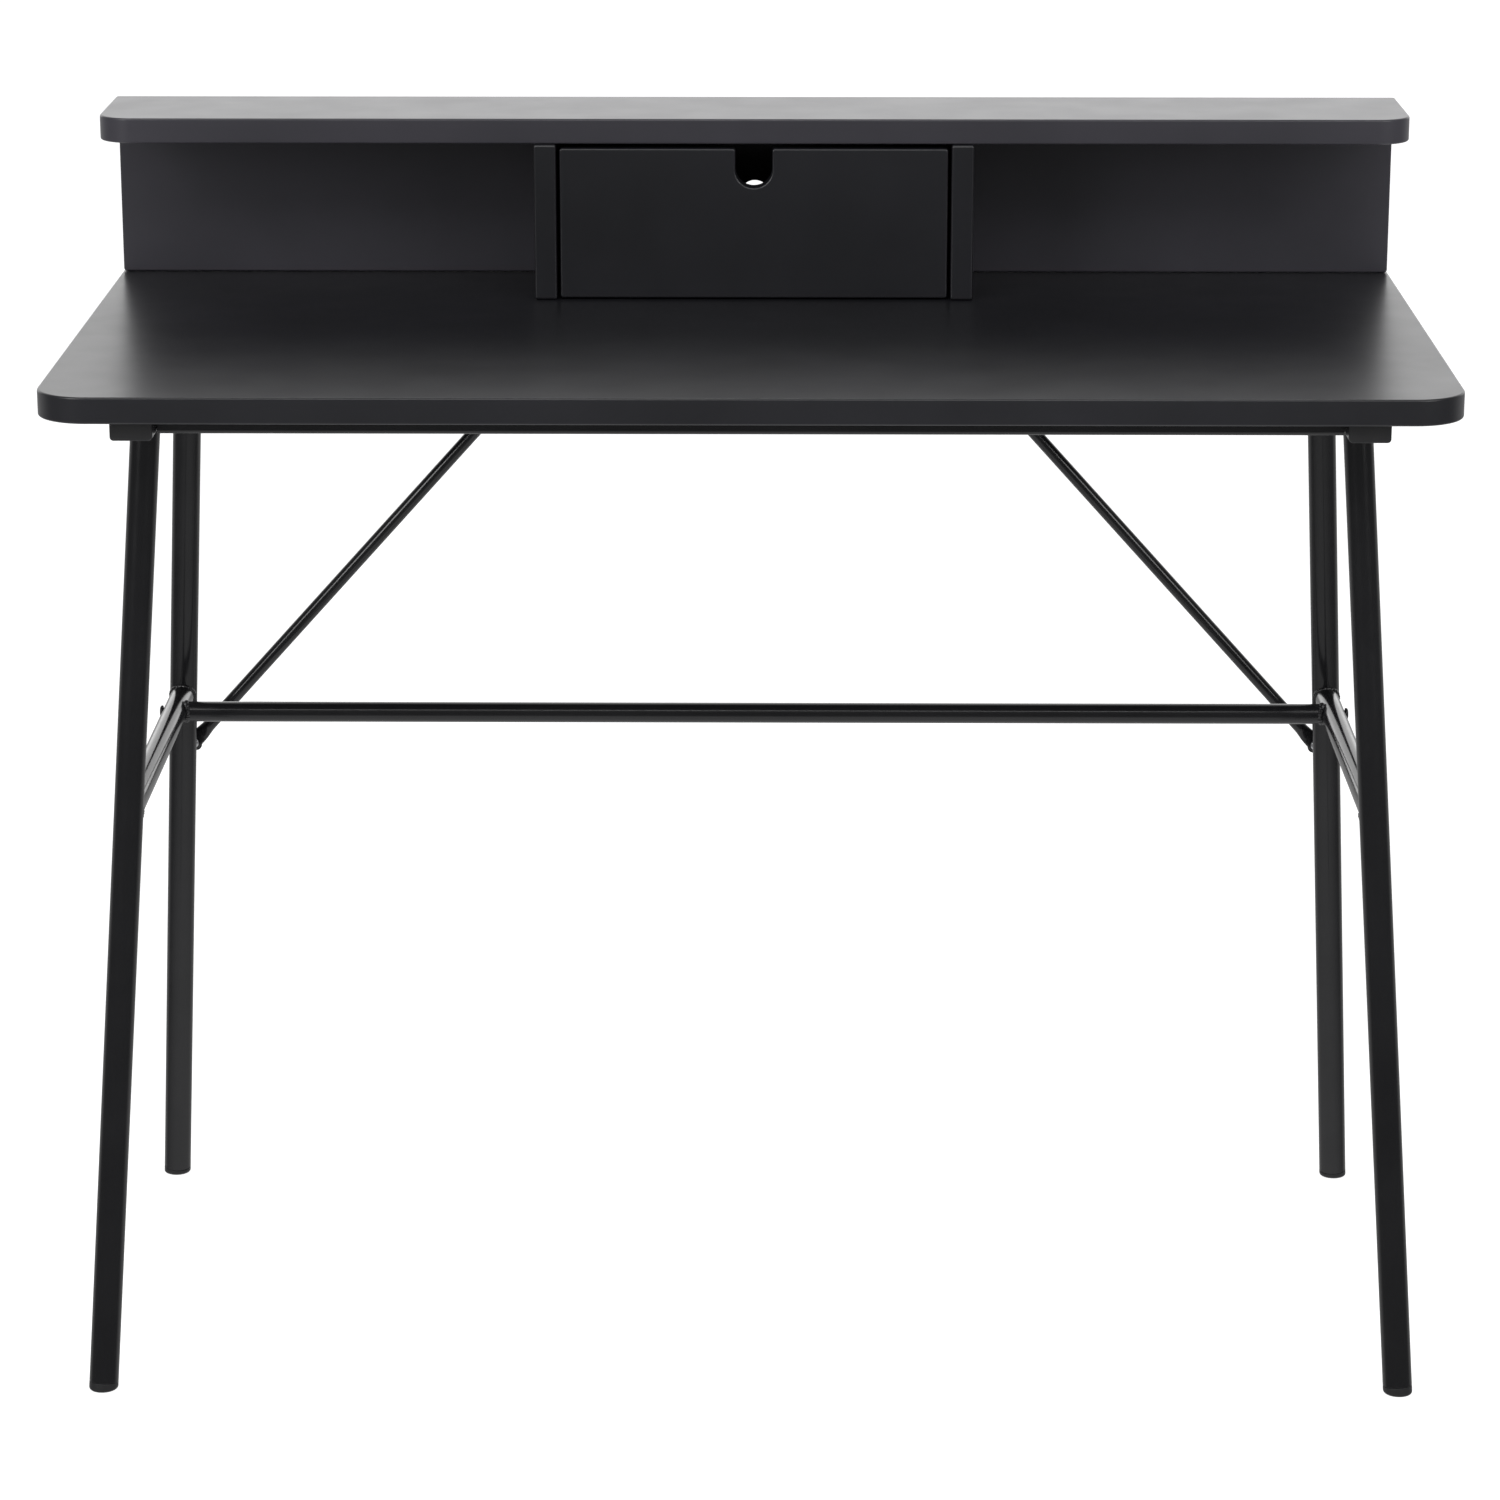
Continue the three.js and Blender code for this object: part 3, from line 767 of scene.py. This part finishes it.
WELD_RADIUS = 2.0 * MM
WELD_SUNK = 0.3 * MM  # from a leg's surface in to the middle of a stretcher's bead
WELD_SHARE = 0.96  # of a stretcher's radius, to the middle of the bead round it
RAIL_WELD_DROP = 0.5 * MM  # from a rail's underside to the middle of a leg's bead
RIPPLE_LENGTH = 1.9 * MM
FEWEST_RIPPLES = 10
RIPPLE_LOW, RIPPLE_HEIGHT, RIPPLE_WANDER = 0.82, 0.26, 0.12  # shares of a bead's radius
WELD_STEPS = 120  # sections along a bead
WELD_SIDES = 12
COLLAR_RADIUS = 2.6 * MM  # thickness of the bead round each end of the long stretcher
COLLAR_REACH = 1.3 * MM  # from the side stretcher's surface to the middle of that bead
COLLAR_SUNK = 1.7 * MM  # from the long stretcher's surface in to the middle of that bead


def weld(name, path, radius, rng):
    """A closed bead along a path, heaped in overlapping ripples."""
    count = len(path)
    length = sum((path[i] - path[i - 1]).length for i in range(count))
    ripples = max(FEWEST_RIPPLES, int(length / RIPPLE_LENGTH))
    phase = rng.uniform(0, math.tau)
    wander = [rng.uniform(-RIPPLE_WANDER, RIPPLE_WANDER) for _ in range(count)]
    rings = []
    for i, here in enumerate(path):
        tangent = (path[(i + 1) % count] - path[i - 1]).normalized()
        outward = (here - mean(path)).normalized()
        side = tangent.cross(outward).normalized()
        outward = side.cross(tangent)
        heap = abs(math.sin(ripples * math.pi * i / count + phase))
        drift = (wander[i] + wander[i - 1] + wander[(i + 1) % count]) / 3
        size = radius * (RIPPLE_LOW + RIPPLE_HEIGHT * heap + drift)
        arms = [outward * math.cos(t) + side * math.sin(t) for t in turns(WELD_SIDES)]
        rings.append([here + arm * size for arm in arms])
    bm = bmesh.new()
    loft(bm, rings, closed=True)
    finish_piece(name, bm, "steel", "frame")


def welds():
    rng = random.Random(SEED)
    for end, way in ENDS.items():
        for name in SIDES:
            foot, top = leg_ends(f"leg_{end}_{name}")
            direction = (top - foot).normalized()
            level = to_plane(low(f"side_rail_{name}").z - RAIL_WELD_DROP)
            around = circle_around(direction, WELD_STEPS)
            path = [level(foot + a * LEG_RADIUS, direction) for a in around]
            weld(f"weld_rail_{end}_{name}", path, WELD_RADIUS, rng)

            centre = middle(f"side_stretcher_{name}")
            radius = bar_radius(f"side_stretcher_{name}") * WELD_SHARE
            slide = to_cylinder(foot, top - foot, LEG_RADIUS - WELD_SUNK)
            outwards = Y * way
            path = [slide(centre + a * radius, outwards) for a in circle_around(outwards, WELD_STEPS)]
            weld(f"weld_stretcher_{end}_{name}", path, WELD_RADIUS, rng)

    centre = middle("long_stretcher")
    radius = bar_radius("long_stretcher") - COLLAR_SUNK
    for name, side in SIDES.items():
        bar = f"side_stretcher_{name}"
        slide = to_cylinder(middle(bar), Y, bar_radius(bar) + COLLAR_REACH)
        outwards = X * side
        path = [slide(centre + a * radius, outwards) for a in circle_around(outwards, WELD_STEPS)]
        weld(f"weld_long_{name}", path, COLLAR_RADIUS, rng)


# ---- Braces ----

BRACE_RADIUS = 5 * MM
TAB_HALF_WIDTH = 6 * MM
TAB_HALF_THICKNESS = 1.75 * MM
TAB_FLAT = 7.5 * MM  # from a tab's screw to where the bar starts to swell
SWELL = 13 * MM  # length over which the tab turns into the round bar
TOP_BEND_OUT = 0.4 * SWELL  # from the level tab's flat to its bend
TOP_BEND_DROP = 1.6 * MM
TOP_SWELL = 0.6 * SWELL  # from that bend to the round bar
TAB_STEPS = 10
TAB_TIP = 0.06  # share of a tab's width left at its very tip
BAR_STEPS = 8
BRACE_SIDES = 40
SLAB_SHARPNESS = 0.55  # how square a flat section is, from 0 for an ellipse
SLAB_ONSET = 1.6  # how soon a thinning section turns square


def tab_stations(screw_place, run, thin, across):
    """Sections of a pressed-flat tab, from its rounded tip past its screw.

    Each is a centre, the axes across and through the tab, and the half sizes along them.
    """
    made = []
    for k in range(TAB_STEPS):
        turn = math.pi / 2 * k / (TAB_STEPS - 1)
        width = TAB_HALF_WIDTH * max(math.sin(turn), TAB_TIP)
        place = screw_place - run * TAB_HALF_WIDTH * math.cos(turn)
        made.append((place, across, thin, width, TAB_HALF_THICKNESS))
    made.append((screw_place + run * TAB_FLAT, across, thin, TAB_HALF_WIDTH, TAB_HALF_THICKNESS))
    return made


def smooth(t):
    """Goes from 0 to 1 with a level start and end."""
    return t * t * (3 - 2 * t)


def swelling(start, bend, end, from_axes, to_axes):
    """Sections between a flat tab and the round bar, along a bend and turning between two pairs of axes."""
    made = []
    for k in range(1, TAB_STEPS + 1):
        t = k / TAB_STEPS
        centre = start.lerp(bend, t).lerp(bend.lerp(end, t), t)
        ease = smooth(t)
        width = TAB_HALF_WIDTH + (BRACE_RADIUS - TAB_HALF_WIDTH) * ease
        thick = TAB_HALF_THICKNESS + (BRACE_RADIUS - TAB_HALF_THICKNESS) * ease
        across, thin = (one.lerp(two, ease).normalized() for one, two in zip(from_axes, to_axes))
        made.append((centre, across, thin, width, thick))
    return made


def section(station):
    """One closed section: a circle where the bar is round, and a rounded slab where it is flat."""
    centre, across, thin, width, thick = station
    flatness = 1 - thick / BRACE_RADIUS
    power = 1 - SLAB_SHARPNESS * min(1, flatness * SLAB_ONSET)
    ring = []
    for turn in turns(BRACE_SIDES):
        u = math.copysign(abs(math.cos(turn)) ** power, math.cos(turn)) * width
        v = math.copysign(abs(math.sin(turn)) ** power, math.sin(turn)) * thick
        ring.append(centre + across * u + thin * v)
    return ring


def brace(name, side):
    """A round bar whose ends are pressed flat: upright behind the rear leg, and level under the top."""
    low_screw, high_screw = f"brace_screw_low_{name}", f"brace_screw_high_{name}"
    plane = middle(high_screw).y
    low_end = Vector((middle(low_screw).x, plane, middle(low_screw).z))
    high_end = Vector((middle(high_screw).x, plane, high(f"brace_{name}").z - TAB_HALF_THICKNESS))

    outwards = X * side
    high_flat = high_end + outwards * TAB_FLAT
    high_bend = high_flat + outwards * TOP_BEND_OUT - Z * TOP_BEND_DROP
    along = (high_bend - low_end).normalized()
    bar_start = low_end + along * (TAB_FLAT + SWELL)
    bar_end = high_bend - along * TOP_SWELL
    upright = along.cross(Y)
    if upright.dot(Z) < 0:
        upright = -upright

    low_flat = low_end + along * TAB_FLAT
    stations = tab_stations(low_end, along, Y, upright)
    stations += swelling(low_flat, low_flat.lerp(bar_start, 0.5), bar_start, (upright, Y), (upright, Y))
    for k in range(1, BAR_STEPS):
        centre = bar_start.lerp(bar_end, k / BAR_STEPS)
        stations.append((centre, upright, Y, BRACE_RADIUS, BRACE_RADIUS))
    top_tab = tab_stations(high_end, outwards, Z, Y)
    top_swell = swelling(high_flat, high_bend, bar_end, (Y, Z), (Y, upright))
    rings = [section(station) for station in stations]
    for station in reversed(top_tab + top_swell):
        ring = section(station)
        rings.append([ring[(BRACE_SIDES // 4 - k) % BRACE_SIDES] for k in range(BRACE_SIDES)])
    bm = bmesh.new()
    loft(bm, rings)
    finish_piece(f"brace_bar_{name}", bm, "steel", "frame", [f"brace_{name}"])


LUG_THICKNESS = 3 * MM
LUG_EASE = 0.5 * MM
LUG_INNER_CORNER = 4.5 * MM
LUG_OUTER_CORNER = 0.8 * MM
WEB_WIDTH = 6.2 * MM
WEB_GAP = 0.2 * MM  # between the web and the leg
WEB_STEPS = 8  # sections up the web
WEB_PARTS = 4  # parts across the web


def brace_lug(name, side):
    """The plate that takes a brace's low screw, with the web that is welded to the back of the leg."""
    node = f"brace_lug_{name}"
    lo, hi = low(node), high(node)
    left, right = LUG_INNER_CORNER, LUG_OUTER_CORNER
    if side < 0:
        left, right = right, left
    outline = rounded(rectangle(lo, hi, X, Z), [left, right, right, left], steps=8)
    span = (-hi.y, -hi.y + LUG_THICKNESS)
    board(f"brace_lug_plate_{name}", outline, span, (X, Z, -Y), "steel", "frame", [node], ease=LUG_EASE)

    foot, top = leg_ends(f"leg_rear_{name}")
    outer_x = hi.x if side > 0 else lo.x
    start, end = sorted((outer_x, outer_x - side * WEB_WIDTH))
    reach = to_cylinder(foot, top - foot, LEG_RADIUS + WEB_GAP)
    back_y = hi.y - LUG_THICKNESS / 2
    rings = []
    for k in range(WEB_STEPS + 1):
        z = lo.z + (hi.z - lo.z) * k / WEB_STEPS
        trim = LUG_EASE if k in (0, WEB_STEPS) else 0
        width = end - start - 2 * trim
        xs = [start + trim + width * i / WEB_PARTS for i in range(WEB_PARTS + 1)]
        front_edge = [reach(Vector((x, hi.y, z)), -Y) for x in xs]
        rings.append(front_edge + [Vector((x, back_y, z)) for x in reversed(xs)])
    bm = bmesh.new()
    loft(bm, rings)
    finish_piece(f"brace_lug_web_{name}", bm, "steel", "frame")


# ---- Screws and bolts ----

DOME_STEPS = 8
FLAT_CROWN = 0.45  # share of a head's radius that its flat crown takes


def turned_bm(profile, sides=32):
    """A solid turned about +Z from (radius, height) pairs that start and end on the axis."""
    bm = bmesh.new()
    rings = []
    for radius, height in profile[1:-1]:
        ring = [(radius * math.cos(t), radius * math.sin(t), height) for t in turns(sides)]
        rings.append([bm.verts.new(point) for point in ring])
    for lower, upper in zip(rings, rings[1:]):
        for i in range(sides):
            j = (i + 1) % sides
            bm.faces.new((lower[i], lower[j], upper[j], upper[i]))
    for (_, height), ring in ((profile[0], rings[0]), (profile[-1], rings[-1])):
        tip = bm.verts.new((0, 0, height))
        for i in range(sides):
            bm.faces.new((ring[i], ring[(i + 1) % sides], tip))
    bmesh.ops.recalc_face_normals(bm, faces=bm.faces)
    return bm


def prism(outline, bottom, top, taper=1.0):
    """A solid between two levels, whose bottom is its outline made smaller by the taper."""
    bm = bmesh.new()
    lower = [bm.verts.new((p.x * taper, p.y * taper, bottom)) for p in outline]
    upper = [bm.verts.new((p.x, p.y, top)) for p in outline]
    bm.faces.new(lower)
    bm.faces.new(upper)
    for i in range(len(outline)):
        j = (i + 1) % len(outline)
        bm.faces.new((lower[i], lower[j], upper[j], upper[i]))
    bmesh.ops.recalc_face_normals(bm, faces=bm.faces)
    return bm


def mesh_of(name, bm):
    mesh = bpy.data.meshes.new(name)
    bm.to_mesh(mesh)
    bm.free()
    return mesh


def carve(body_bm, tool_bm):
    """Cuts one closed mesh from another and gives back the result as a mesh."""
    body = bpy.data.objects.new("carve_body", mesh_of("carve_body", body_bm))
    tool = bpy.data.objects.new("carve_tool", mesh_of("carve_tool", tool_bm))
    bpy.context.collection.objects.link(body)
    bpy.context.collection.objects.link(tool)
    cutter = body.modifiers.new("cut", "BOOLEAN")
    cutter.operation = "DIFFERENCE"
    cutter.solver = "EXACT"
    cutter.object = tool
    graph = bpy.context.evaluated_depsgraph_get()
    result = bpy.data.meshes.new_from_object(body.evaluated_get(graph))
    for thing in (body, tool):
        bpy.data.objects.remove(thing)
    return result


def domed(head_radius, head_height, shank_radius, length, dome=0.55):
    """Profile of a pan head above z=0 with its shank below; dome is the curved share of the head's height."""
    blunt, point = shank_radius * 0.4, shank_radius * 1.6
    shoulder = head_height * (1 - dome)
    profile = [(0, -length), (blunt, blunt - length), (shank_radius, point - length)]
    profile += [(shank_radius, -0.02 * MM), (head_radius * 0.97, 0), (head_radius, 0.25 * MM)]
    profile.append((head_radius, shoulder))
    for k in range(1, DOME_STEPS):
        angle = math.pi / 2 * k / DOME_STEPS
        radius = head_radius * (FLAT_CROWN + (1 - FLAT_CROWN) * math.cos(angle))
        profile.append((radius, shoulder + head_height * dome * math.sin(angle)))
    profile.append((0, head_height))
    return profile


def cross_outline(arm, width):
    """A cross with four equal arms."""
    half = width / 2
    corners = []
    for k in range(4):
        turn = Matrix.Rotation(math.pi / 2 * k, 2)
        corners += [turn @ Vector((arm, -half)), turn @ Vector((arm, half)), turn @ Vector((half, half))]
    return corners


def hexagon(radius):
    return [Vector((radius * math.cos(t), radius * math.sin(t))) for t in turns(6)]


SCREW_HEAD, SCREW_HEAD_HEIGHT, SCREW_SHANK = 4.2 * MM, 2.2 * MM, 1.9 * MM
BOLT_HEAD, BOLT_HEAD_HEIGHT, BOLT_SHANK = 4.8 * MM, 2.4 * MM, 2.9 * MM
RECESS_ARM, RECESS_WIDTH = 2.3 * MM, 0.85 * MM  # the cross in a screw's head
SOCKET_RADIUS = 2.3 * MM  # the hexagon in a bolt's head
RECESS_FLOOR = 0.7 * MM  # above the underside of a head
RECESS_OVERRUN = 1 * MM  # past the crown of a head
RECESS_TAPER = 0.55
CRISP_ANGLE = math.radians(35)


def screw_mesh(length):
    body = turned_bm(domed(SCREW_HEAD, SCREW_HEAD_HEIGHT, SCREW_SHANK, length))
    cross = cross_outline(RECESS_ARM, RECESS_WIDTH)
    recess = prism(cross, RECESS_FLOOR, SCREW_HEAD_HEIGHT + RECESS_OVERRUN, RECESS_TAPER)
    return carve(body, recess)


def bolt_mesh(length):
    body = turned_bm(domed(BOLT_HEAD, BOLT_HEAD_HEIGHT, BOLT_SHANK, length, dome=0.6))
    recess = prism(hexagon(SOCKET_RADIUS), RECESS_FLOOR, BOLT_HEAD_HEIGHT + RECESS_OVERRUN)
    return carve(body, recess)


def set_fastener(node, mesh, seat, direction, turn, slot="zinc"):
    """Places a copy of a fastener with its head's underside at seat and its shank along direction."""
    copy = mesh.copy()
    pose = (-direction).to_track_quat("Z", "Y").to_matrix().to_4x4()
    copy.transform(Matrix.Translation(seat) @ pose @ Matrix.Rotation(turn, 4, "Z"))
    bm = bmesh.new()
    bm.from_mesh(copy)
    bpy.data.meshes.remove(copy)
    piece = finish_piece(f"{node}_metal", bm, slot, "frame", [node])
    piece.modifiers.remove(piece.modifiers["weighted_normals"])
    edges = piece.modifiers.new("crisp_edges", "EDGE_SPLIT")
    edges.split_angle = CRISP_ANGLE


def fasteners():
    rng = random.Random(SEED + 1)
    meshes = {}

    def screw(node, seat, direction, length):
        key = round(length, 5)
        if key not in meshes:
            meshes[key] = screw_mesh(length)
        set_fastener(node, meshes[key], seat, direction, rng.uniform(0, math.pi / 2))

    for node in sorted(name for name in frame["nodes"] if "screw" in name):
        lo, hi, centre = low(node), high(node), middle(node)
        if node.startswith("shelf"):
            seat = Vector((centre.x, hi.y - SCREW_HEAD_HEIGHT, centre.z))
            screw(node, seat, -Y, hi.y - lo.y - SCREW_HEAD_HEIGHT)
        elif node.startswith("brace_screw_low"):
            seat = Vector((centre.x, lo.y + SCREW_HEAD_HEIGHT, centre.z))
            screw(node, seat, Y, hi.y - lo.y - SCREW_HEAD_HEIGHT)
        else:
            seat = Vector((centre.x, centre.y, lo.z + SCREW_HEAD_HEIGHT))
            screw(node, seat, Z, hi.z - lo.z - SCREW_HEAD_HEIGHT)
    for name, side in SIDES.items():
        node = f"stretcher_bolt_{name}"
        lo, hi = low(node), high(node)
        outer = hi.x if side > 0 else lo.x
        seat = Vector((outer - side * BOLT_HEAD_HEIGHT, middle(node).y, middle(node).z))
        mesh = bolt_mesh(hi.x - lo.x - BOLT_HEAD_HEIGHT)
        set_fastener(node, mesh, seat, X * -side, rng.uniform(0, math.pi / 2), slot="blackened")


def dress_cad_nodes():
    """The inserts keep their CAD shape and take the screws' zinc."""
    for name in SIDES:
        insert = frame["nodes"][f"stretcher_insert_{name}"]
        insert.data.materials.clear()
        insert.data.materials.append(MATERIALS["zinc"])


# ---- Assembly ----

make_camera()
make_world()
make_floor(floor_paint())
make_lights()

desktop()
shelf()
back_panel()
dividers()
drawer()
rails()
legs()
stretchers()
welds()
for name, side in SIDES.items():
    brace(name, side)
    brace_lug(name, side)
fasteners()
dress_cad_nodes()

scene = bpy.context.scene
scene.view_settings.view_transform = "Standard"
